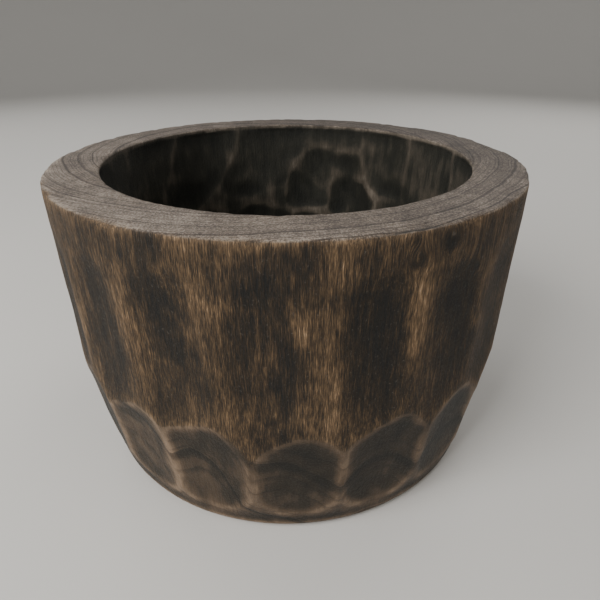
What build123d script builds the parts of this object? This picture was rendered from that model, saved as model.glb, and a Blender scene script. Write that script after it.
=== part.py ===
from build123d import *

import os
from math import asin, degrees, sin

# Carved wooden bowl: one log section, hollowed out and fluted outside with a gouge.
#
# The bowl stands on Z = 0 with its round axis on Z. Its front faces -Y.
# Bearings are in degrees, from the front towards +X. Lengths are in millimetres.

# The turned outline of the log section.
HEIGHT = 208.0
RIM_RADIUS = 161.0
BELLY_RADIUS = 161.8
BELLY_HEIGHT = 150.0
WAIST_RADIUS = 161.8
WAIST_HEIGHT = 96.0
BAND_RADIUS = 158.0
BAND_HEIGHT = 46.0
FOOT_RADIUS = 149.5
FOOT_HEIGHT = 9.0
BASE_RADIUS = 142.0
EDGE_ROUND = 1.5

# The hollow.
MOUTH_RADIUS = 126.0
WELL_RADIUS = 121.0
WELL_HEIGHT = 66.0
FLOOR_RADIUS = 84.0
FLOOR_THICKNESS = 28.0

# Long shallow flutes on the upper wall. The front ones are where the carver put them.
FLUTE_WIDTH = 44.0
FLUTE_DEPTH = 2.6
FLUTE_CENTRE = 137.0
FLUTE_ENDS = (-66.0, 66.0)
FLUTE_RUN_OUTS = (44.0, 44.0)
FRONT_FLUTES = [-41.0, -23.0, -5.0, 16.0, 33.0, 50.0]
BACK_FLUTE_COUNT = 14

# Shorter, deeper scallops round the lower wall. They lean in with it and fade at its foot.
SCALLOP_WIDTH = 50.0
SCALLOP_DEPTH = 3.2
SCALLOP_CENTRE = 29.0
SCALLOP_ENDS = (-37.0, 81.0)
SCALLOP_RUN_OUTS = (44.0, 48.0)
SCALLOP_LEAN = 6.5
SCALLOP_WALL = 155.0
FRONT_SCALLOPS = [-36.0, -19.5, 2.0, 21.0, 41.0]
BACK_SCALLOP_COUNT = 14

# Gouge hollows down the inner wall.
INNER_WIDTH = 50.0
INNER_DEPTH = 2.4
INNER_CENTRE = 118.0
INNER_ENDS = (-58.0, 58.0)
INNER_RUN_OUTS = (30.0, 30.0)
INNER_WALL = 123.5
INNER_COUNT = 15
FIRST_INNER = 152.0

# Hand work is never quite even: each cut strays from the even ones by up to this much.
STRAY_ANGLE = 1.4
STRAY_HEIGHT = 6.0
STRAY_DEPTH = 0.4
STRAY_STEP = 2.4

# How far a cut's solid reaches past the wood at its ends, and past its own width.
TOOL_MARGIN = 1.5
SLICE_MARGIN = 1.6


def log_blank():
    """Turn the outside of the log section: flat base, rounded foot, nearly upright wall."""
    with BuildPart() as blank:
        with BuildSketch(Plane.XZ) as outline:
            with BuildLine():
                Line((0, HEIGHT), (0, 0))
                Line((0, 0), (BASE_RADIUS, 0))
                foot = TangentArc((BASE_RADIUS, 0), (FOOT_RADIUS, FOOT_HEIGHT), tangent=(1, 0))
                ThreePointArc(foot @ 1, (BAND_RADIUS, BAND_HEIGHT), (WAIST_RADIUS, WAIST_HEIGHT))
                ThreePointArc(
                    (WAIST_RADIUS, WAIST_HEIGHT),
                    (BELLY_RADIUS, BELLY_HEIGHT),
                    (RIM_RADIUS, HEIGHT),
                )
                Line((RIM_RADIUS, HEIGHT), (0, HEIGHT))
            make_face()
            rim_corner = outline.vertices().sort_by_distance((RIM_RADIUS, HEIGHT))[0]
            fillet(rim_corner, EDGE_ROUND)
        revolve(axis=Axis.Z)
    return blank.part


def hollow():
    """The space inside the bowl, from its dished floor to above the rim."""
    with BuildPart() as space:
        with BuildSketch(Plane.XZ):
            with BuildLine():
                Line((0, HEIGHT), (0, FLOOR_THICKNESS))
                Line((0, FLOOR_THICKNESS), (FLOOR_RADIUS, FLOOR_THICKNESS))
                TangentArc(
                    (FLOOR_RADIUS, FLOOR_THICKNESS),
                    (WELL_RADIUS, WELL_HEIGHT),
                    tangent=(1, 0),
                )
                Line((WELL_RADIUS, WELL_HEIGHT), (MOUTH_RADIUS, HEIGHT - EDGE_ROUND))
                TangentArc(
                    (MOUTH_RADIUS, HEIGHT - EDGE_ROUND),
                    (MOUTH_RADIUS + EDGE_ROUND, HEIGHT),
                    tangent=(0, 1),
                )
                Line((MOUTH_RADIUS + EDGE_ROUND, HEIGHT), (0, HEIGHT))
            make_face()
        revolve(axis=Axis.Z)
    return space.part


def gouge_sweep(radius, width, ends, run_outs, drop):
    """The space one gouge cut clears: a slice of a barrel that bulges towards +Y to the origin.

    Its ends are a lowest and a highest level. Near them it curves away by the drop, over a
    run-out at the foot and one at the top. It is a little wider than the cut.
    """
    low, high = ends
    low_bend, high_bend = low + run_outs[0], high - run_outs[1]
    spread = 2 * degrees(asin(width / 2 / radius)) * SLICE_MARGIN
    with BuildPart() as sweep:
        with BuildSketch(Plane.XZ):
            with BuildLine():
                Line((0, high), (0, low))
                Line((0, low), (radius - drop, low))
                TangentArc((radius, low_bend), (radius - drop, low), tangent=(0, -1))
                Line((radius, low_bend), (radius, high_bend))
                TangentArc((radius, high_bend), (radius - drop, high), tangent=(0, 1))
                Line((radius - drop, high), (0, high))
            make_face()
        revolve(axis=Axis.Z, revolution_arc=spread)
    return Pos(0, -radius, 0) * Rot(0, 0, 90 - spread / 2) * sweep.part


def outer_radius_of_cut(width, depth, wall):
    """Radius of a round cut that leaves this width and depth on a wall that bulges out."""
    half = width / 2
    return 1 / (2 * depth / half**2 - 1 / wall)


def inner_radius_of_cut(width, depth, wall):
    """Radius of a round cut that leaves this width and depth on a wall that curves round it."""
    half = width / 2
    return 1 / (2 * depth / half**2 + 1 / wall)


def placed(tool, bearing, reach, height, lean):
    """Stand a tool so that its face is this far from the axis, leaning in at its foot."""
    return Rot(0, 0, bearing) * Pos(0, -reach, height) * Rot(lean, 0, 0) * tool


def bearings(front, back_count):
    """The front bearings, then evenly spaced ones that stray a little, round the back."""
    gap = (360 + front[0] - front[-1]) / (back_count + 1)
    back = [
        front[-1] + gap * (step + 1) + STRAY_ANGLE * sin(STRAY_STEP * step)
        for step in range(back_count)
    ]
    return front + back


def flute_cuts():
    """The long flutes round the upper wall."""
    cuts = []
    for index, bearing in enumerate(bearings(FRONT_FLUTES, BACK_FLUTE_COUNT)):
        depth = FLUTE_DEPTH + STRAY_DEPTH * sin(STRAY_STEP * index)
        radius = outer_radius_of_cut(FLUTE_WIDTH, depth, BELLY_RADIUS)
        tool = gouge_sweep(radius, FLUTE_WIDTH, FLUTE_ENDS, FLUTE_RUN_OUTS, depth + TOOL_MARGIN)
        cuts.append(placed(tool, bearing, BELLY_RADIUS - depth, FLUTE_CENTRE, 0))
    return cuts


def scallop_cuts():
    """The arched scallops round the lower wall."""
    cuts = []
    for index, bearing in enumerate(bearings(FRONT_SCALLOPS, BACK_SCALLOP_COUNT)):
        depth = SCALLOP_DEPTH + STRAY_DEPTH * sin(STRAY_STEP * index)
        height = SCALLOP_CENTRE + STRAY_HEIGHT / 2 * sin(STRAY_STEP * index)
        radius = outer_radius_of_cut(SCALLOP_WIDTH, depth, SCALLOP_WALL)
        tool = gouge_sweep(radius, SCALLOP_WIDTH, SCALLOP_ENDS, SCALLOP_RUN_OUTS, depth + TOOL_MARGIN)
        cuts.append(placed(tool, bearing, SCALLOP_WALL - depth, height, SCALLOP_LEAN))
    return cuts


def inner_cuts():
    """The gouge hollows down the inner wall."""
    cuts = []
    for index in range(INNER_COUNT):
        stray = sin(STRAY_STEP * index)
        bearing = FIRST_INNER + 360 / INNER_COUNT * index + STRAY_ANGLE * stray
        radius = inner_radius_of_cut(INNER_WIDTH, INNER_DEPTH, INNER_WALL)
        drop = INNER_DEPTH + TOOL_MARGIN
        tool = gouge_sweep(radius, INNER_WIDTH, INNER_ENDS, INNER_RUN_OUTS, drop)
        tool = Rot(0, 0, 180) * tool
        height = INNER_CENTRE + STRAY_HEIGHT * stray
        cuts.append(placed(tool, bearing, INNER_WALL + INNER_DEPTH, height, 0))
    return cuts


def carved(wood, cuts):
    """Take the gouge cuts out of the wood one at a time, because neighbours overlap."""
    for cut in cuts:
        wood = wood - cut
    return wood


carved_log = carved(log_blank(), flute_cuts() + scallop_cuts())
bowl_body = carved(carved_log - hollow(), inner_cuts())
bowl_body.label = "bowl_body"

os.makedirs("parts", exist_ok=True)
export_step(bowl_body, "parts/bowl_body.step")
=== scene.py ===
# %% [markdown]
# # A carved log bowl
#
# This lesson builds the looks of a deep wooden bowl around its measured model. The
# real bowl is one section of a log, hollowed out, and cut all round with a gouge.
# Everything below takes its sizes from that.

# %% Load the measured bowl
import math

import bmesh
import bpy
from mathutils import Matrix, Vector, noise
from mathutils.bvhtree import BVHTree


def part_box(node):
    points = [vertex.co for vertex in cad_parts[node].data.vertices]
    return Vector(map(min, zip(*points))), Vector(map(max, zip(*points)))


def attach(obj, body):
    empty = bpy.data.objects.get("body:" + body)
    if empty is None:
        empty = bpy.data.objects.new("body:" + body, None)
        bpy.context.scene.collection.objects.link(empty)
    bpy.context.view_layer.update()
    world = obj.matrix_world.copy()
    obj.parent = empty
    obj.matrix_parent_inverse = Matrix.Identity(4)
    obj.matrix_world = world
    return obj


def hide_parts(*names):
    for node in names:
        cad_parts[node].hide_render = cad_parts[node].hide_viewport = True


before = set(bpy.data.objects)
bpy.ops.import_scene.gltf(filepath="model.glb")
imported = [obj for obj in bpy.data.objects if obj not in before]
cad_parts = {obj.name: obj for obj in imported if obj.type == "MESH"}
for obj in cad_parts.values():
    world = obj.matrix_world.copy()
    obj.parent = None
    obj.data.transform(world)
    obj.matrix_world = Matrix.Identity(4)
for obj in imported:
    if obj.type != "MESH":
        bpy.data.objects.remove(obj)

MM = 0.001
# Vector noise starts from the clock unless it is given a seed, so it gets one.
NOISE_SEED = 7
noise.seed_set(NOISE_SEED)
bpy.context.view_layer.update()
low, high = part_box("bowl_body")
height = high.z
print("The bowl is", round(high.x - low.x, 3), "m across and", round(height, 3), "m high")

# %% [markdown]
# ## Feel for the surface
#
# The measured model is a net of loose triangles, too uneven to carve finely.
# So a fresh skin is made and laid onto it, and for that we must ask where the surface is.
# A BVH tree answers that fast: it shoots a ray and returns the point where wood is met.

# %% A feeler that finds the wood
merged = bmesh.new()
merged.from_mesh(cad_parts["bowl_body"].data)
bmesh.ops.remove_doubles(merged, verts=merged.verts, dist=0.005 * MM)
wood = BVHTree.FromBMesh(merged)
merged.free()


def feel(start, direction):
    """The point and outward normal where a ray from start meets the wood, or None twice."""
    point, normal, _, _ = wood.ray_cast(start, direction.normalized())
    return point, normal


def radius_at(start, direction):
    """How far from the bowl's axis the ray meets the wood."""
    point, _ = feel(start, direction)
    return math.hypot(point.x, point.y)


edge_round = 1.5 * MM
rim_radius = radius_at(Vector((0.3, 0, height - 2 * MM)), Vector((-1, 0, 0)))
mouth_radius = radius_at(Vector((0, 0, height - 2 * MM)), Vector((1, 0, 0)))
floor_level = feel(Vector((0, 0, 0.3)), Vector((0, 0, -1)))[0].z
print("rim", round(rim_radius, 4), "mouth", round(mouth_radius, 4), "floor", round(floor_level, 4))

# %% [markdown]
# ## Spin a blank
#
# A turner would start from the half section of the bowl, and so do we.
# A few corner points are joined by edges, each edge is divided into rings' worth of steps,
# and one full spin about the axis turns the line into a closed skin.
# The steps are short on the walls, where the gouge marks are, and long on the underside.

# %% The half section, spun
SEGMENTS = 500
base_radius = 142 * MM
foot_radius, foot_height = 149.5 * MM, 9 * MM
well_radius, well_height = 121 * MM, 66 * MM
dish_radius = 84 * MM

CORNERS = [
    # radius, height, and steps to reach it from the corner before
    (base_radius, 0, 6),
    (foot_radius, foot_height, 8),
    (rim_radius, height - edge_round, 96),
    (rim_radius - edge_round, height, 4),
    (mouth_radius + edge_round, height, 12),
    (mouth_radius, height - edge_round, 3),
    (well_radius, well_height, 46),
    (dish_radius, floor_level, 12),
    (0, floor_level, 7),
]


def half_section(bm):
    """Draw the bowl's half section by extruding one point along it, step by step."""
    tip = bm.verts.new((0, 0, 0))
    for radius, level, steps in CORNERS:
        start, goal = tip.co.copy(), Vector((radius, 0, level))
        for step in range(steps):
            tip = bmesh.ops.extrude_vert_indiv(bm, verts=[tip])["verts"][0]
            tip.co = start.lerp(goal, (step + 1) / steps)


def spun_blank():
    """The half section turned once round the axis and closed at its two poles."""
    bm = bmesh.new()
    half_section(bm)
    bmesh.ops.spin(
        bm,
        geom=list(bm.verts) + list(bm.edges),
        cent=(0, 0, 0),
        axis=(0, 0, 1),
        angle=math.tau,
        steps=SEGMENTS,
        use_merge=True,
    )
    bmesh.ops.remove_doubles(bm, verts=bm.verts, dist=0.02 * MM)
    bmesh.ops.recalc_face_normals(bm, faces=bm.faces)
    return bm


bowl = spun_blank()
print("The blank has", len(bowl.verts), "points and", len(bowl.faces), "faces")

# %% [markdown]
# ## Lay the blank onto the carved wood
#
# Each point of the blank slides until it touches the measured surface.
# Outside it slides straight in towards the axis, and inside straight out from it.
# In the dished corner of the floor it fans out from one height, so no point folds over another.
# While it slides, each point also remembers how far the wood leans out there.

# %% Fit every point
core_radius = (base_radius + mouth_radius) / 2 + 2 * MM
FLAT = 0.05 * MM


def reach(co):
    """Distance from the bowl's upright axis."""
    return math.hypot(co.x, co.y)


def side_of(co):
    """Which side of the bowl a point of the untouched blank is on."""
    if co.z < FLAT:
        return UNDERSIDE
    if co.z > height - FLAT:
        return RIM
    return OUTER if reach(co) > core_radius else INNER


UNDERSIDE, OUTER, RIM, INNER = range(4)
side = bowl.verts.layers.int.new("side")
lean = bowl.verts.layers.float.new("lean")
depth = bowl.verts.layers.float.new("depth")
for vert in bowl.verts:
    vert[side] = side_of(vert.co)


def is_outer(vert):
    """True on the outer wall, between the underside and the rim."""
    return vert[side] == OUTER


def is_inner(vert):
    """True inside the bowl, on its wall, dished corner and floor."""
    return vert[side] == INNER


def fit_point(vert):
    """Slide one point onto the wood and note the lean of the wall there."""
    co = vert.co
    outward = Vector((co.x, co.y, 0))
    if is_outer(vert):
        point, normal = feel(outward.normalized() * 0.3 + Vector((0, 0, co.z)), -outward)
    elif is_inner(vert) and outward.length > FLAT:
        start = Vector((0, 0, max(co.z, well_height)))
        point, normal = feel(start, co - start)
    else:
        return
    if point:
        vert.co = point
        vert[lean] = -normal.z


for vert in bowl.verts:
    fit_point(vert)
print("fitted", len(bowl.verts), "points to the wood")

# %% [markdown]
# ## Measure how deep the gouge went
#
# Before it was carved, each level of the log was a plain circle.
# The uncut ridges still touch that circle, so the widest point of a ring gives it,
# and every other point of the ring knows how far it was cut back.

# %% Depth of cut, ring by ring
FULL_FLUTE = 2.6 * MM
rings = {}
for vert in bowl.verts:
    if is_outer(vert):
        rings.setdefault(round(vert.co.z / MM, 2), []).append(vert)
for ring in rings.values():
    turned = max(reach(v.co) for v in ring)
    for vert in ring:
        vert[depth] = turned - reach(vert.co)
print(len(rings), "rings; deepest cut", round(max(v[depth] for v in bowl.verts) / MM, 1), "mm")

# %% [markdown]
# ## Let the ridges relax
#
# A gouge leaves a crisp ridge, and hands and sandpaper then soften it.
# The upper flutes are rubbed almost smooth, and the lower scallops keep their edges.
# Smoothing moves a point towards the middle of its neighbours, so it is run more often above.
# It also lifts the points of a hollow a little, and those are laid back on the wood.

# %% Soften the carving
FOOT_TOP = 18 * MM
SCALLOP_LEAN = 0.085
SCALLOP_TOP = 104 * MM
LEAN_FADE = 0.03
ALL_SCALLOP_BELOW = 58 * MM
LEVEL_FADE = 10 * MM


def soften(verts, times):
    """Relax these points towards their neighbours a number of times."""
    for _ in range(times):
        bmesh.ops.smooth_vert(
            bowl, verts=verts, factor=0.5, use_axis_x=True, use_axis_y=True, use_axis_z=True
        )


def lay_back(verts):
    """Put any of these points that smoothing lifted out of the wood back onto it."""
    lifted = 0
    for vert in verts:
        point, normal, _, _ = wood.find_nearest(vert.co)
        if (vert.co - point).dot(normal) > 0:
            vert.co = point
            lifted += 1
    return lifted


def in_scallop(vert):
    """1 where a lower scallop was cut, falling to 0 over its arched upper edge."""
    if not is_outer(vert) or vert.co.z > SCALLOP_TOP:
        return 0.0
    by_lean = (vert[lean] - SCALLOP_LEAN) / LEAN_FADE
    by_level = (ALL_SCALLOP_BELOW - vert.co.z) / LEVEL_FADE
    return min(max(by_lean, by_level, 0.0), 1.0)


scallop = [in_scallop(v) for v in bowl.verts]
below_rim = height - 4 * MM
walls = [v for v in bowl.verts if is_outer(v) and v.co.z < below_rim]
inside = [v for v in bowl.verts if is_inner(v) and v.co.z < below_rim]
soften([v for v in walls if in_scallop(v) < 0.5], 7)
soften(walls, 2)
soften([v for v in walls if v.co.z < FOOT_TOP], 10)
soften(inside, 3)
print(len(walls), "wall points and", len(inside), "inside points relaxed")

# %% [markdown]
# ## Gouge the inside
#
# Inside, the carver worked down the wall in short overlapping strokes, some of them slanting.
# Each stroke is a shallow trough with a rounded start, and where two meet a thin ridge is left.
# For a point we only need the deepest stroke that reaches it, so the ridges make themselves.
# The strokes on the far wall, the ones a viewer sees, are listed one by one.
# The others follow two rows, each with a stray of its own.

# %% Where the strokes go
FAR_STROKES = [
    # bearing at the start and at the end, in degrees from the far wall's middle towards +X,
    # depth below the rim at the start and at the end, half the width in degrees, and the cut
    (-60, -72, -10, 66, 15, 1.5),
    (-32, -50, -14, 70, 15, 1.8),
    (2, -20, -14, 66, 17, 1.8),
    (18, 8, 18, 84, 13, 2.6),
    (22, 18, -16, 40, 17, 1.0),
    (27, 29, 20, 92, 11, 3.0),
    (31, 33, 44, 118, 9, 3.6),
    (44, 43, -12, 62, 13, 1.7),
    (69, 68, -12, 66, 14, 1.7),
]
NEAR_STROKES = [(96 + 26 * i, 96 + 26 * i + 7, -12, 64, 15, 1.6) for i in range(7)]
LOW_STROKES = [(12 + 24 * i, 14 + 24 * i, 80, 132, 14, 1.8) for i in range(15)]


def stray(index, salt):
    """A repeatable stray between -1 and 1."""
    return math.sin(12.9898 * index + 37.719 * salt)


def strayed(strokes, angle, drop):
    """The same strokes, each shifted round the wall and down it by a stray of its own."""
    return [
        (a + angle * stray(i, 1), b + angle * stray(i, 1), top + drop * stray(i, 2),
         foot + drop * stray(i, 2), half, cut * (1 + 0.3 * stray(i, 3)))
        for i, (a, b, top, foot, half, cut) in enumerate(strokes)
    ]


STROKES = FAR_STROKES + strayed(NEAR_STROKES, 2.5, 4) + strayed(LOW_STROKES, 4, 9)
print(len(STROKES), "strokes inside")


# %% [markdown]
# ## Cut the strokes
#
# The hand wobbles, so each stroke's edge is swayed by slow noise. The floor gets shallow dishes.
# The inside is relaxed before cutting, and once more after, so the new ridges aren't sharp.

# %% Cut them
WOBBLE_GRAIN = 24 * MM
FLOOR_GRAIN = 30 * MM
FLOOR_CUT = 1.1 * MM
DISH_STEEPNESS = 1.6
HAND_SWAY = 3.5
HAND_DROP = 6


def stroke_cut(stroke, bearing, down):
    """How deep one stroke cuts at this bearing and depth below the rim, in metres."""
    start, end, top, foot, half, cut = stroke
    along = (down - top) / (foot - top)
    middle = start + (end - start) * along
    across = (bearing - middle + 180) % 360 - 180
    return cut * MM * (1 - (across / half) ** 2 - abs(2 * along - 1) ** 5)


def gouged(co):
    """The depth to take off the inner wall at this point. The hand wobbles a little."""
    wobble = noise.noise_vector(co / WOBBLE_GRAIN)
    bearing = math.degrees(math.atan2(co.x, co.y)) + HAND_SWAY * wobble.x
    down = (height - co.z) / MM + HAND_DROP * wobble.y
    return max(0.0, max(stroke_cut(stroke, bearing, down) for stroke in STROKES))


def floor_mark(co):
    """The floor was cleared with short strokes of a bent gouge, which left shallow dishes."""
    near, _ = noise.voronoi(co / FLOOR_GRAIN)
    return FLOOR_CUT * max(0.0, 1 - DISH_STEEPNESS * near[0] ** 2)


soften(inside, 8)
lifted = lay_back(inside)
print(lifted, "inside points laid back before cutting")
bowl.normal_update()
cuts = {v: gouged(v.co) if v.co.z > well_height else floor_mark(v.co) for v in inside}
for vert, off in cuts.items():
    vert.co -= vert.normal * off
soften(inside, 1)
print("deepest inner stroke", round(max(cuts.values()) / MM, 2), "mm")

# %% [markdown]
# ## Hand work everywhere
#
# Nothing cut by hand is quite true. The wall has a slow unevenness, the saw left the rim a little
# out of flat, and the rim's edges have lost small chips.
# All of it takes wood away. Last, any point that still stands proud is laid back on the wood,
# so nothing here is ever bigger than the measured bowl.

# %% Slow unevenness, a rim that isn't quite flat, and chipped edges
UNEVEN = 0.8 * MM
RIPPLE = 0.3 * MM
RIM_UNEVEN = 0.6 * MM
CHIP_REACH = 4.5 * MM
FLATTENED = (23, 0.9 * MM)
FLAT_HALF_WIDTH = 7
FLAT_REACH = 9 * MM


def noise_at(co, grain, offset=0.0):
    """Smooth noise between 0 and 1, whose lumps are about one grain across."""
    return 0.5 + 0.5 * noise.noise(co / grain + Vector((offset, offset, offset)))


def chip_depth(co, edge_radius):
    """How much a chip takes off near one of the rim's two edges."""
    away = math.hypot(reach(co) - edge_radius, co.z - height)
    near = max(0.0, 1 - away / CHIP_REACH)
    fine = 0.4 * MM * noise_at(co, 5 * MM, 1.7)
    small = max(0.0, noise_at(co, 8 * MM, 3.1) - 0.55) * 3.5 * MM
    large = max(0.0, noise_at(co, 22 * MM, 8.4) - 0.6) * 7.0 * MM
    return near * (fine + small + large)


def bearing_of(co):
    """Bearing from the front towards +X, in degrees."""
    return math.degrees(math.atan2(co.x, -co.y))


def flattened(co):
    """The one place on the rim's outer edge that was rubbed down."""
    middle, most = FLATTENED
    across = max(0.0, 1 - ((bearing_of(co) - middle) / FLAT_HALF_WIDTH) ** 2)
    near = max(0.0, 1 - (rim_radius - reach(co)) / FLAT_REACH)
    return most * across * near


def handled(vert):
    """The wood that time and tools took off at this point."""
    co = vert.co
    if vert[side] == UNDERSIDE:
        return 0.0
    if vert[side] == RIM:
        off = RIM_UNEVEN * noise_at(co, 45 * MM) + 0.15 * MM * noise_at(co, 6 * MM, 4.0)
        off += flattened(co)
    else:
        off = UNEVEN * noise_at(co, 40 * MM, 5.0) + RIPPLE * noise_at(co, 11 * MM, 2.0)
        off *= min(1.0, co.z / (12 * MM))
    return off + chip_depth(co, rim_radius) + 0.6 * chip_depth(co, mouth_radius)


bowl.normal_update()
taken = {v: handled(v) for v in bowl.verts}
for vert, off in taken.items():
    vert.co -= vert.normal * off
print("most taken off", round(max(taken.values()) / MM, 2), "mm")
lifted = lay_back(bowl.verts)
print(lifted, "points stood proud of the measured wood and were laid back")

# %% [markdown]
# ## Masks that the material will read
#
# The stain is dark where it could settle and thin where hands rub.
# A point that stands proud of its smoothed surroundings is a ridge, and one that lies
# below them is a hollow. So we smooth a copy and compare the two.

# %% Ridges and hollows as numbers on the mesh
def proudness(bm, times):
    """How far each point stands out of the surface around it, in metres."""
    bm.normal_update()
    smooth = bm.copy()
    for _ in range(times):
        bmesh.ops.smooth_vert(
            smooth, verts=smooth.verts, factor=0.5, use_axis_x=True, use_axis_y=True, use_axis_z=True
        )
    proud = [(v.co - w.co).dot(v.normal) for v, w in zip(bm.verts, smooth.verts)]
    smooth.free()
    return proud


def blurred(bm, values, times):
    """Numbers on points, averaged with their neighbours a number of times."""
    for _ in range(times):
        values = [
            (values[v.index] + sum(values[e.other_vert(v).index] for e in v.link_edges))
            / (1 + len(v.link_edges))
            for v in bm.verts
        ]
    return values


bowl.verts.index_update()
proud = proudness(bowl, 12)
scallop = blurred(bowl, scallop, 2)
print("proudest point", round(max(proud) / MM, 2), "mm")

# %% [markdown]
# ## Where the stain pooled, and where shade is painted
#
# The stain ran down the wet wood and stayed in some flutes more than in others.
# On the front, each pool is a soft oval, and some slant with the run of the brush.
# The ovals on the scallops are painted shade under their arches, deepest on the right.
# Round the back the depth of the flutes decides, and painted shade darkens the rim towards its back
# right.

# %% Pools of stain and painted shade, patches that hands have rubbed bare, and painted light
POOLS_AND_SHADE = [
    # bearing and level of the middle (level as a part of the height), half width in degrees,
    # half height, slant in degrees of bearing over the whole height, and strength
    (-38.5, 0.74, 3.5, 0.20, 10, 0.75),
    (-26.0, 0.84, 4.0, 0.10, 20, 0.9),
    (-21.5, 0.70, 3.5, 0.13, 34, 1.0),
    (-4.5, 0.91, 7.0, 0.07, 0, 1.0),
    (-6.0, 0.80, 4.0, 0.12, -10, 0.6),
    (-1.0, 0.68, 3.5, 0.18, 6, 1.0),
    (-9.0, 0.60, 4.0, 0.14, 10, 0.4),
    (15.5, 0.80, 4.2, 0.14, 0, 1.0),
    (17.0, 0.64, 5.0, 0.14, 14, 1.0),
    (34.0, 0.78, 5.0, 0.12, 14, 0.9),
    (36.5, 0.62, 4.5, 0.12, 14, 0.9),
    (-33.0, 0.96, 6.0, 0.04, 0, 0.8),
    (-23.0, 0.98, 3.5, 0.03, 0, 0.6),
    (28.0, 0.97, 5.0, 0.04, 0, 0.5),
    # The ovals from here on lie on the scallops: painted shade under the arches, fading downwards,
    # strongest on the right, away from the light.
    (2.0, 0.39, 6.5, 0.06, 0, 1.0),
    (1.0, 0.22, 6.0, 0.06, 0, 0.6),
    (22.5, 0.36, 6.0, 0.09, 0, 1.0),
    (20.0, 0.20, 5.0, 0.05, 0, 0.6),
    (41.0, 0.36, 5.0, 0.12, 0, 1.0),
    (-19.0, 0.37, 4.5, 0.05, 0, 0.5),
    (-36.0, 0.30, 4.0, 0.10, 0, 0.15),
    (34.0, 0.24, 7.0, 0.12, 0, 0.7),
]
RUBS_AND_LIGHT = [
    (5.5, 0.76, 5.5, 0.28, 0, 1.0),
    (-13.5, 0.98, 6.5, 0.06, 0, 1.0),
    (-14.0, 0.66, 4.5, 0.28, 14, 0.35),
    (-31.5, 0.80, 4.0, 0.28, 14, 0.8),
    (23.5, 0.80, 2.8, 0.26, 14, 0.6),
    (41.5, 0.80, 2.5, 0.24, 6, 0.6),
    (6.0, 0.50, 7.0, 0.05, 0, 0.5),
    (-10.0, 0.50, 9.0, 0.05, 0, 0.6),
    # Painted light on the left scallops, which face the light:
    (-30.0, 0.28, 10.0, 0.14, 0, 0.8),
]


def oval(spots, co):
    """How much the strongest of these soft ovals covers a point, 0 to 1. Their edges are ragged."""
    wobble = noise.noise_vector(co / (17 * MM)) + 0.5 * noise.noise_vector(co / (7 * MM))
    bearing, level = bearing_of(co) + 4 * wobble.x, co.z / height + 0.05 * wobble.z
    most = 0.0
    for middle, centre, half_width, half_height, slant, strength in spots:
        across = (bearing - middle + slant * (level - centre)) / half_width
        along = (level - centre) / half_height
        most = max(most, strength * math.exp(-0.9 * across**2 - abs(along) ** 3))
    return most


# Bearings, and widths in degrees: how far round the listed pools reach and fade, where the painted
# shade on the rim is thinnest, and how far the painted light on the inner wall is turned.
FRONT = 47
FRONT_FADE = 6
RIM_LIT_BEARING = -45
INNER_LIGHT_TURN = 15
BACK_GRAIN = 55 * MM
EDGE_WEAR = 3 * MM


def stain_and_shade_at(vert):
    """Stain in the front pools and back flutes; painted shade under the scallop arches and on the
    rim's far side.
    """
    # On the rim this is painted shade: darkest at the back right, away from the light, and palest at
    # the front left.
    if vert[side] == RIM:
        return 0.5 - 0.5 * math.cos(math.radians(bearing_of(vert.co) - RIM_LIT_BEARING))
    if not is_outer(vert):
        return 0.0
    by_cut = min(vert[depth] / FULL_FLUTE, 1.0) ** 1.5
    by_cut *= 0.35 + 0.9 * noise_at(vert.co, BACK_GRAIN, 6.3)
    front = min(max((FRONT + FRONT_FADE - abs(bearing_of(vert.co))) / FRONT_FADE, 0.0), 1.0)
    return front * oval(POOLS_AND_SHADE, vert.co) + (1 - front) * 0.9 * by_cut


def rubbed_and_lit_at(vert):
    """Where cloths and hands took the stain off again outside, with painted light on the left
    scallops. Inside it is painted light, high on the right.
    """
    if is_outer(vert):
        return oval(RUBS_AND_LIGHT, vert.co)
    # Inside this is painted light: the wall that faces the light from the left is made paler, more so
    # near the rim.
    if is_inner(vert) and vert.co.z > well_height:
        rise = (vert.co.z - well_height) / (height - well_height)
        return rise * max(0.0, math.sin(math.radians(bearing_of(vert.co) - INNER_LIGHT_TURN)))
    return 0.0


def worn_edge_at(vert):
    """1 on the rim's outer edge, where fibres stand up, falling to 0 in a few millimetres."""
    away = math.hypot(reach(vert.co) - rim_radius, vert.co.z - height)
    return math.exp(-((away / EDGE_WEAR) ** 2))


masks = {
    "stain_and_shade": [stain_and_shade_at(v) for v in bowl.verts],
    "rubbed_and_lit": [rubbed_and_lit_at(v) for v in bowl.verts],
    "worn_edge": [worn_edge_at(v) for v in bowl.verts],
    "cut_depth": [min(v[depth] / FULL_FLUTE, 1.5) for v in bowl.verts],
    "scallop": scallop,
    "ridge": [p / (0.25 * MM) for p in proud],
    "inside": blurred(bowl, [float(is_inner(v)) for v in bowl.verts], 1),
    "sawn": [max(0.0, 1 - min(v.co.z, height - v.co.z) / (1.7 * MM)) for v in bowl.verts],
}
print("masks:", ", ".join(masks))

# %% [markdown]
# ## Knots
#
# Where a twig grew out of the log, the fibres part and flow round it, like water round a stone.
# The pattern itself is solid, so we bend the coordinates that it is read at:
# each point near a knot reads the pattern from a little further in, towards the knot's middle.

# %% Knots in the wall, and how far each bends the grain
KNOTS = [
    # bearing, level as a part of the height, and radius in millimetres
    (22.3, 0.93, 7), (28.8, 0.955, 6), (20.5, 0.975, 4), (37.0, 0.86, 8), (20.6, 0.50, 4),
    (-30.0, 0.93, 4), (96, 0.62, 8), (151, 0.80, 7), (-128, 0.70, 9), (-80, 0.48, 5),
]
KNOT_REACH = 2.6


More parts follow.
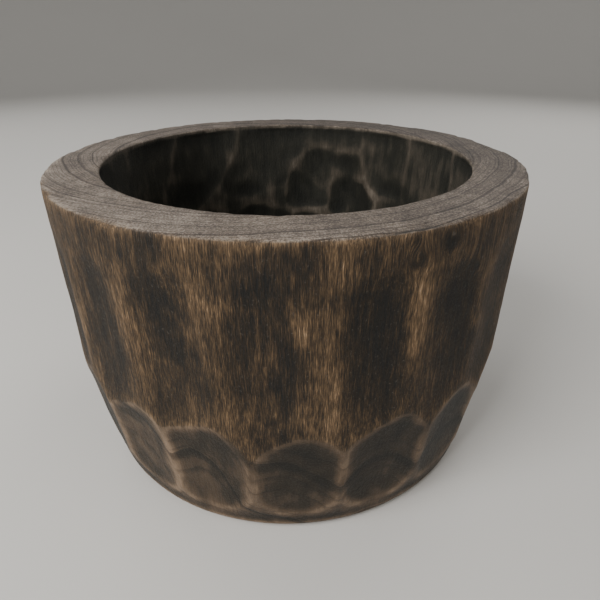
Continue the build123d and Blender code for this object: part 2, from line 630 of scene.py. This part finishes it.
def knot_pull(vert):
    """The shift of the grain's coordinates at a point, and how near it is to a knot's middle."""
    co, shift, nearness = vert.co, Vector((0, 0, 0)), 0.0
    if not is_outer(vert):
        return shift, nearness
    for bearing, level, radius in KNOTS:
        turn, wide = math.radians(bearing), radius * MM
        middle = Vector((math.sin(turn), -math.cos(turn), 0)) * reach(co)
        middle.z = level * height
        away = co - middle
        distance = away.length / wide
        if distance < KNOT_REACH:
            sideways = Vector((away.x, away.y, 0))
            shift -= sideways * math.exp(-(distance**2)) * 0.85
            shift.z += wide * 0.8 * math.exp(-(distance**2))
            nearness = max(nearness, math.exp(-2.5 * distance**2))
    return shift, nearness


pulls = [knot_pull(v) for v in bowl.verts]
masks["knot"] = [nearness for _, nearness in pulls]
grain_shift = [number for shift, _ in pulls for number in shift]
print(sum(1 for n in masks["knot"] if n > 0.5), "points lie in a knot")

# %% [markdown]
# ## Finish the skin
#
# The net becomes a mesh, and the masks are stored on its points for the material to read.

# %% Turn the skin into an object
mesh = bpy.data.meshes.new("carved_bowl")
bowl.to_mesh(mesh)
bowl.free()
for name, values in masks.items():
    layer = mesh.attributes.new(name, "FLOAT", "POINT")
    layer.data.foreach_set("value", values)
bend = mesh.attributes.new("grain_shift", "FLOAT_VECTOR", "POINT")
bend.data.foreach_set("vector", grain_shift)
mesh.polygons.foreach_set("use_smooth", [True] * len(mesh.polygons))
carved_bowl = bpy.data.objects.new("carved_bowl", mesh)
bpy.context.scene.collection.objects.link(carved_bowl)
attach(carved_bowl, "root")
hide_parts("bowl_body")

# %% [markdown]
# ## Small tools for wiring nodes
#
# A material is a web of nodes. These helpers make one node each and wire its inputs,
# so that the recipes below read like recipes.

# %% Node helpers
def node(tree, kind, **inputs):
    """Add a shader node and give each named input a link or a fixed value."""
    made = tree.nodes.new("ShaderNode" + kind)
    for name, value in inputs.items():
        plug(tree, made.inputs[name.replace("_", " ")], value)
    return made


def plug(tree, socket, value):
    """Link a socket to another socket, or set its fixed value."""
    if isinstance(value, bpy.types.NodeSocket):
        tree.links.new(value, socket)
    else:
        socket.default_value = value


def sum_of(tree, operation, first, second=0.0, third=0.0):
    """One Math node's result."""
    made = tree.nodes.new("ShaderNodeMath")
    made.operation = operation
    for socket, value in zip(made.inputs, (first, second, third)):
        plug(tree, socket, value)
    return made.outputs[0]


def spread(tree, value, low, high, to_low=0.0, to_high=1.0):
    """Stretch a value's range from low..high to to_low..to_high, with soft ends."""
    made = tree.nodes.new("ShaderNodeMapRange")
    made.interpolation_type = "SMOOTHSTEP"
    for socket, number in zip(made.inputs, (value, low, high, to_low, to_high)):
        plug(tree, socket, number)
    return made.outputs[0]


def blend(tree, factor, below, above, how="MIX"):
    """Mix two colours, or a fixed colour with a linked one."""
    made = tree.nodes.new("ShaderNodeMix")
    made.data_type = "RGBA"
    made.blend_type = how
    plug(tree, made.inputs["Factor"], factor)
    for socket, colour in zip((made.inputs[6], made.inputs[7]), (below, above)):
        plug(tree, socket, colour)
    return made.outputs[2]


def stretched(tree, vector, across, along):
    """Coordinates in which one unit is `across` metres sideways and `along` metres up."""
    made = node(tree, "Mapping", Vector=vector, Scale=(1 / across, 1 / across, 1 / along))
    return made.outputs[0]


def noise_of(tree, vector, detail=2.0, rough=0.5, distortion=0.0):
    """A Noise Texture's value, one lump to a unit."""
    made = node(tree, "TexNoise", Vector=vector, Scale=1.0, Detail=detail, Roughness=rough)
    made.inputs["Distortion"].default_value = distortion
    return made.outputs["Fac"]


def mask(tree, name):
    """One of the numbers we left on the mesh's points."""
    made = tree.nodes.new("ShaderNodeAttribute")
    made.attribute_name = name
    return made.outputs["Fac"]


def new_group(name, inputs, outputs):
    """An empty node group with named sockets. Returns it with its inner input and output nodes."""
    tree = bpy.data.node_groups.new(name, "ShaderNodeTree")
    for label, kind in inputs.items():
        tree.interface.new_socket(label, in_out="INPUT", socket_type=kind)
    for label, kind in outputs.items():
        tree.interface.new_socket(label, in_out="OUTPUT", socket_type=kind)
    return tree, tree.nodes.new("NodeGroupInput"), tree.nodes.new("NodeGroupOutput")


def use_group(tree, group, **inputs):
    """Place a node group in a material and set its inputs."""
    made = tree.nodes.new("ShaderNodeGroup")
    made.node_tree = group
    for name, value in inputs.items():
        plug(tree, made.inputs[name.replace("_", " ")], value)
    return made.outputs


# %% [markdown]
# ## Growth rings
#
# A tree adds a layer each year. The layers are sleeves round the pith, the log's true middle.
# Here the pith runs a little off the bowl's axis and tilts, so the rings are off-centre on the rim.
# On the walls the same sleeves are cut at a slant, which draws long arches on the scallops.
# Every surface reads one solid pattern, just as the real wood is one solid.

# %% A node group for growth rings
FLOAT, VECTOR = "NodeSocketFloat", "NodeSocketVector"
PITH = (-11 * MM, 25 * MM)
PITH_LEAN = (0.06, -0.04)


def growth_rings():
    """Thin dark lines of late wood, and a tone for each year, in solid coordinates."""
    tree, into, out = new_group(
        "growth_rings",
        {"Vector": VECTOR, "Year": FLOAT, "Wander": FLOAT},
        {"Late Wood": FLOAT, "Tone": FLOAT},
    )
    spot = into.outputs["Vector"]
    centred = node(tree, "VectorMath", Vector=spot)
    centred.inputs[1].default_value = (PITH[0], PITH[1], 0)
    centred.operation = "SUBTRACT"
    parts = node(tree, "SeparateXYZ", Vector=centred.outputs[0])
    across = sum_of(tree, "MULTIPLY_ADD", parts.outputs["Z"], PITH_LEAN[0], parts.outputs["X"])
    front = sum_of(tree, "MULTIPLY_ADD", parts.outputs["Z"], PITH_LEAN[1], parts.outputs["Y"])
    squares = sum_of(tree, "ADD", sum_of(tree, "MULTIPLY", across, across),
                     sum_of(tree, "MULTIPLY", front, front))
    radius = sum_of(tree, "POWER", squares, 0.5)
    drift = sum_of(tree, "SUBTRACT", noise_of(tree, stretched(tree, spot, 0.07, 0.16), 2.0), 0.5)
    radius = sum_of(tree, "MULTIPLY_ADD", drift, into.outputs["Wander"], radius)
    years = sum_of(tree, "DIVIDE", radius, into.outputs["Year"])
    uneven = node(tree, "TexNoise", Scale=0.55, Detail=1.0)
    uneven.noise_dimensions = "1D"
    plug(tree, uneven.inputs["W"], years)
    years = sum_of(tree, "MULTIPLY_ADD", uneven.outputs["Fac"], 1.6, years)
    part = sum_of(tree, "FRACT", years)
    rise = spread(tree, part, 0.62, 0.93)
    fall = spread(tree, part, 0.965, 1.0, 1.0, 0.0)
    tree.links.new(sum_of(tree, "MULTIPLY", rise, fall), out.inputs["Late Wood"])
    tone = node(tree, "TexWhiteNoise")
    tone.noise_dimensions = "1D"
    plug(tree, tone.inputs["W"], sum_of(tree, "FLOOR", years))
    tree.links.new(tone.outputs["Value"], out.inputs["Tone"])
    return tree


rings_group = growth_rings()
print("growth_rings has", len(rings_group.nodes), "nodes")

# %% [markdown]
# ## Fibres and pores
#
# Wood is a bundle of upright tubes. Cut along them they show as fine dashes, and cut across
# them, as on the rim, the same tubes show as dots. Noise that is stretched upright does both.

# %% A node group for fibres
def fibres():
    """Fine upright strands: a value whose lumps are narrow sideways and long upwards."""
    tree, into, out = new_group(
        "fibres",
        {"Vector": VECTOR, "Width": FLOAT, "Length": FLOAT},
        {"Strand": FLOAT},
    )
    parts = node(tree, "SeparateXYZ", Vector=into.outputs["Vector"])
    side = sum_of(tree, "DIVIDE", parts.outputs["X"], into.outputs["Width"])
    front = sum_of(tree, "DIVIDE", parts.outputs["Y"], into.outputs["Width"])
    along = sum_of(tree, "DIVIDE", parts.outputs["Z"], into.outputs["Length"])
    squeezed = node(tree, "CombineXYZ", X=side, Y=front, Z=along).outputs[0]
    tree.links.new(noise_of(tree, squeezed, 3.0, 0.65), out.inputs["Strand"])
    return tree


fibres_group = fibres()
print("fibres has", len(fibres_group.nodes), "nodes")

# %% [markdown]
# ## Colours of the stained wood
#
# The bowl was stained almost black and then rubbed back with cloths and wax.
# Four scales of colour cover it, each going from where the stain is thick to where it is gone;
# painted shade and painted light also move a point along them.
# The fibres slide a point along its scale, so bare strands show beside dark ones.

# %% Colour scales
WALL_SCALE = [
    (0.20, (0.0060, 0.0058, 0.0055, 1)),
    (0.42, (0.0200, 0.0140, 0.0084, 1)),
    (0.56, (0.0520, 0.0330, 0.0175, 1)),
    (0.70, (0.1060, 0.0670, 0.0350, 1)),
    (0.84, (0.2060, 0.1310, 0.0700, 1)),
    (1.00, (0.4000, 0.2750, 0.1700, 1)),
]
SCALLOP_SCALE = [
    (0.15, (0.0080, 0.0070, 0.0048, 1)),
    (0.45, (0.0230, 0.0170, 0.0110, 1)),
    (0.75, (0.0820, 0.0550, 0.0340, 1)),
    (1.00, (0.2000, 0.1400, 0.0920, 1)),
]
SAWN_SCALE = [
    (0.15, (0.034, 0.029, 0.026, 1)),
    (0.40, (0.082, 0.066, 0.056, 1)),
    (0.62, (0.150, 0.122, 0.102, 1)),
    (0.90, (0.360, 0.315, 0.265, 1)),
]
HOLLOW_SCALE = [
    (0.20, (0.0060, 0.0064, 0.0046, 1)),
    (0.50, (0.0180, 0.0172, 0.0125, 1)),
    (0.75, (0.0560, 0.0460, 0.0340, 1)),
    (1.00, (0.1500, 0.1250, 0.0980, 1)),
]
GREYED = (0.125, 0.103, 0.086, 1)


def scale_of(tree, value, stops):
    """A colour ramp: the value picks a colour between these stops."""
    made = node(tree, "ValToRGB", Fac=value)
    ramp = made.color_ramp
    while len(ramp.elements) < len(stops):
        ramp.elements.new(0.5)
    for element, (place, colour) in zip(ramp.elements, stops):
        element.position = place
        element.color = colour
    return made.outputs["Color"]


def added(tree, start, *parts):
    """A running sum: start, plus each (value, weight, centre) as weight x (value - centre)."""
    total = start
    for value, weight, centre in parts:
        total = sum_of(tree, "MULTIPLY_ADD", value, weight,
                       sum_of(tree, "SUBTRACT", total, weight * centre))
    return total


# %% [markdown]
# ## The finish, part by part
#
# Each part of the surface is worked out on its own: the fluted wall, the smooth scallops below
# it with their pale ridges and dark ring lines, the sawn rim, and the dark hollow.
# The masks then lay one over the other, so the borders fall where the tools changed.

# %% One finish for each part of the surface
def grain_values(tree, spot):
    """The solid patterns that every part shares."""
    broad = use_group(tree, rings_group, Vector=spot, Year=0.0115, Wander=0.012)
    fine = use_group(tree, rings_group, Vector=spot, Year=0.0027, Wander=0.012)
    return {
        "hair": use_group(tree, fibres_group, Vector=spot, Width=0.0005, Length=0.0062)["Strand"],
        "strand": use_group(tree, fibres_group, Vector=spot, Width=0.0019, Length=0.03)["Strand"],
        "patch": noise_of(tree, stretched(tree, spot, 0.022, 0.050), 4.0, 0.65),
        "cloud": noise_of(tree, stretched(tree, spot, 0.009, 0.022), 3.0, 0.6),
        "speck": noise_of(tree, stretched(tree, spot, 0.0011, 0.0016), 1.0, 0.5),
        "ring": broad["Late Wood"],
        "thin_ring": spread(tree, broad["Late Wood"], 0.7, 1.0),
        "year_tone": broad["Tone"],
        "fine_ring": fine["Late Wood"],
    }


def wall_finish(tree, grain, ridge, scallop_mask):
    """The fluted wall: stain in the pools, bare golden fibres where it was rubbed."""
    broken = spread(tree, grain["patch"], 0.25, 0.55, 0.35, 1.0)
    pooled_and_shaded = sum_of(tree, "MULTIPLY", mask(tree, "stain_and_shade"), broken)
    lip = sum_of(tree, "MULTIPLY", scallop_mask, sum_of(tree, "SUBTRACT", 1.0, scallop_mask))
    lip = sum_of(tree, "MULTIPLY", lip, spread(tree, grain["patch"], 0.4, 0.6))
    value = added(
        tree, 0.50,
        (grain["hair"], 1.12, 0.5),
        (grain["strand"], 0.55, 0.5),
        (grain["patch"], 0.45, 0.5),
        (grain["cloud"], 0.40, 0.5),
        (pooled_and_shaded, -0.22, 0.0),
        (mask(tree, "rubbed_and_lit"), 0.08, 0.0),
        (mask(tree, "cut_depth"), -0.05, 0.5),
        (ridge, 0.07, 0.0),
        (grain["ring"], -0.05, 0.0),
        (lip, 0.45, 0.0),
        (mask(tree, "worn_edge"), 0.10, 0.0),
        (mask(tree, "knot"), -0.12, 0.0),
    )
    colour = scale_of(tree, value, WALL_SCALE)
    sparkle = sum_of(tree, "MULTIPLY", spread(tree, grain["speck"], 0.66, 0.80), 0.35)
    return blend(tree, sparkle, colour, GREYED)


def scallop_finish(tree, grain, ridge):
    """The smooth scallops: painted shade under their arches, painted light on the left ones, soft
    pale ridges and dark ring lines.
    """
    value = added(
        tree, 0.54,
        (ridge, 0.32, 0.0),
        (mask(tree, "stain_and_shade"), -0.22, 0.0),
        (mask(tree, "rubbed_and_lit"), 0.15, 0.0),
        (grain["patch"], 0.55, 0.5),
        (grain["cloud"], 0.45, 0.5),
        (grain["strand"], 0.25, 0.5),
        (grain["hair"], 0.22, 0.5),
        (grain["year_tone"], 0.05, 0.5),
        (grain["ring"], -0.10, 0.0),
        (grain["thin_ring"], -0.20, 0.0),
        (grain["fine_ring"], -0.10, 0.0),
    )
    return scale_of(tree, value, SCALLOP_SCALE)


def sawn_finish(tree, grain):
    """The sawn rim and base: end grain, with the rings as thin dark lines, and painted shade on the
    rim's back right.
    """
    value = added(
        tree, 0.66,
        (mask(tree, "stain_and_shade"), -0.20, 0.0),
        (grain["hair"], 1.00, 0.5),
        (grain["speck"], 0.70, 0.5),
        (grain["patch"], 0.45, 0.5),
        (grain["cloud"], 0.35, 0.5),
        (grain["year_tone"], 0.10, 0.5),
        (grain["thin_ring"], -0.30, 0.0),
        (grain["fine_ring"], -0.20, 0.0),
        (mask(tree, "worn_edge"), 0.18, 0.0),
    )
    return scale_of(tree, value, SAWN_SCALE)


def hollow_finish(tree, grain, ridge):
    """The hollow: nearly black, with the ridges between strokes rubbed grey, and painted light high
    on the right wall.
    """
    value = added(
        tree, 0.50,
        (ridge, 0.24, 0.1),
        (mask(tree, "rubbed_and_lit"), 0.16, 0.0),
        (grain["patch"], 0.60, 0.5),
        (grain["cloud"], 0.55, 0.5),
        (grain["strand"], 0.30, 0.5),
        (grain["hair"], 0.25, 0.5),
    )
    return scale_of(tree, value, HOLLOW_SCALE)


# %% [markdown]
# ## Putting the finish together
#
# The wood is dry and open where fibres stand up, and smoother where the scallops were sliced.
# So roughness follows the fibres, and the same strands drive a fine bump.

# %% The material
def stained_wood():
    """The whole bowl's finish."""
    material = bpy.data.materials.new("dark_stained_wood")
    material.use_nodes = True
    tree = material.node_tree
    shader = tree.nodes["Principled BSDF"]
    spot = node(tree, "VectorMath", Vector=node(tree, "TexCoord").outputs["Object"])
    shift = tree.nodes.new("ShaderNodeAttribute")
    shift.attribute_name = "grain_shift"
    tree.links.new(shift.outputs["Vector"], spot.inputs[1])
    grain = grain_values(tree, spot.outputs[0])

    ridge = spread(tree, mask(tree, "ridge"), -1.2, 1.2, -1.0, 1.0)
    scallop_mask = mask(tree, "scallop")
    frayed = spread(tree, added(tree, scallop_mask, (grain["hair"], 0.9, 0.5)), 0.35, 0.65)
    colour = blend(tree, frayed, wall_finish(tree, grain, ridge, scallop_mask),
                   scallop_finish(tree, grain, ridge))
    colour = blend(tree, mask(tree, "inside"), colour, hollow_finish(tree, grain, ridge))
    colour = blend(tree, mask(tree, "sawn"), colour, sawn_finish(tree, grain))
    plug(tree, shader.inputs["Base Color"], colour)

    gloss = added(tree, 0.70, (grain["hair"], 0.35, 0.5), (scallop_mask, -0.12, 0.0),
                  (grain["speck"], -0.3, 0.5))
    plug(tree, shader.inputs["Roughness"], gloss)
    shader.inputs["Specular IOR Level"].default_value = 0.3

    rough_part = sum_of(tree, "MULTIPLY_ADD", scallop_mask, -0.75, 1.0)
    relief = sum_of(tree, "MULTIPLY", grain["hair"], rough_part)
    relief = added(tree, relief, (grain["strand"], 0.8, 0.0), (grain["ring"], -0.08, 0.0),
                   (grain["speck"], 0.35, 0.0))
    bump = node(tree, "Bump", Height=relief, Strength=0.7, Distance=0.001)
    plug(tree, shader.inputs["Normal"], bump.outputs["Normal"])
    return material


mesh.materials.append(stained_wood())
print("the finish has", len(mesh.materials[0].node_tree.nodes), "nodes")

# %% [markdown]
# ## A plain pale floor and soft light
#
# The bowl stands on a plain floor whose far edge curves up all round, as painters' backdrops do,
# so that no horizon line shows from any side. It is a short profile, spun once.
# A soft light from the left gives the walls their shape, a weak one from the right keeps
# the shadows open, and two behind do the same for the back.

# %% The floor
FLOOR_REACH, COVE_RADIUS, COVE_TOP = 2.6, 1.4, 3.2


def studio_cove():
    """A round floor with an upturned edge, spun from its half section."""
    bm = bmesh.new()
    tip = bm.verts.new((0, 0, 0))
    goals = [(FLOOR_REACH, 0)]
    for step in range(1, 13):
        turn = math.radians(7.5 * step)
        goals.append((FLOOR_REACH + COVE_RADIUS * math.sin(turn), COVE_RADIUS * (1 - math.cos(turn))))
    for across, level in goals + [(FLOOR_REACH + COVE_RADIUS, COVE_TOP)]:
        tip = bmesh.ops.extrude_vert_indiv(bm, verts=[tip])["verts"][0]
        tip.co = (across, 0, level)
    bmesh.ops.spin(
        bm, geom=list(bm.verts) + list(bm.edges), cent=(0, 0, 0), axis=(0, 0, 1),
        angle=math.tau, steps=96, use_merge=True,
    )
    bmesh.ops.remove_doubles(bm, verts=bm.verts, dist=0.1 * MM)
    bmesh.ops.recalc_face_normals(bm, faces=bm.faces)
    return bm


floor_mesh = bpy.data.meshes.new("studio_floor")
cove = studio_cove()
cove.to_mesh(floor_mesh)
cove.free()
floor_mesh.polygons.foreach_set("use_smooth", [True] * len(floor_mesh.polygons))
studio_floor = bpy.data.objects.new("studio_floor", floor_mesh)
bpy.context.scene.collection.objects.link(studio_floor)
pale = bpy.data.materials.new("pale_floor")
pale.use_nodes = True
pale_shader = pale.node_tree.nodes["Principled BSDF"]
pale_shader.inputs["Base Color"].default_value = (0.56, 0.55, 0.53, 1)
pale_shader.inputs["Roughness"].default_value = 0.9
floor_mesh.materials.append(pale)

# %% [markdown]
# ## Light it
#
# Each light is a soft square that faces the bowl, and a pale room fills the rest.

# %% The lights
def softbox(name, place, size, power, colour):
    """A square area light that faces the middle of the bowl."""
    light = bpy.data.lights.new(name, "AREA")
    light.size = size
    light.energy = power
    light.color = colour
    lamp = bpy.data.objects.new(name, light)
    lamp.location = place
    aim = Vector((0, 0, height / 2)) - Vector(place)
    lamp.rotation_euler = aim.to_track_quat("-Z", "Y").to_euler()
    bpy.context.scene.collection.objects.link(lamp)


softbox("window_left", (-0.85, -0.8, 1.0), 0.8, 27, (1.0, 0.98, 0.95))
softbox("back_left", (-1.2, 1.3, 1.2), 1.2, 9, (1.0, 0.99, 0.97))
softbox("back_right", (1.1, 1.4, 1.2), 1.2, 11, (1.0, 0.98, 0.95))
softbox("fill_right", (1.4, -0.9, 0.9), 1.4, 8, (1.0, 0.97, 0.93))
world = bpy.data.worlds.new("soft_room")
world.use_nodes = True
world.node_tree.nodes["Background"].inputs["Color"].default_value = (0.85, 0.84, 0.82, 1)
world.node_tree.nodes["Background"].inputs["Strength"].default_value = 0.5
bpy.context.scene.world = world

# %% [markdown]
# ## The camera
#
# Someone stands close and looks down at the bowl with a wide lens.
# That is why the foot looks so much smaller than the rim, though the walls are nearly upright.

# %% Where the eye is, in rim radii and degrees
EYE_BACK, EYE_ABOVE = 2.184, 0.484
LOOKS_DOWN, LOOKS_RIGHT = 29.26, 1.47
camera_data = bpy.data.cameras.new("camera")
camera_data.sensor_width = 36
camera_data.lens = 28.95
camera = bpy.data.objects.new("camera", camera_data)
camera.location = (0, -EYE_BACK * rim_radius, height + EYE_ABOVE * rim_radius)
pitch, yaw = math.radians(LOOKS_DOWN), math.radians(LOOKS_RIGHT)
aim = Vector((math.sin(yaw) * math.cos(pitch), math.cos(yaw) * math.cos(pitch), -math.sin(pitch)))
camera.rotation_euler = aim.to_track_quat("-Z", "Y").to_euler()
bpy.context.scene.collection.objects.link(camera)
bpy.context.scene.camera = camera
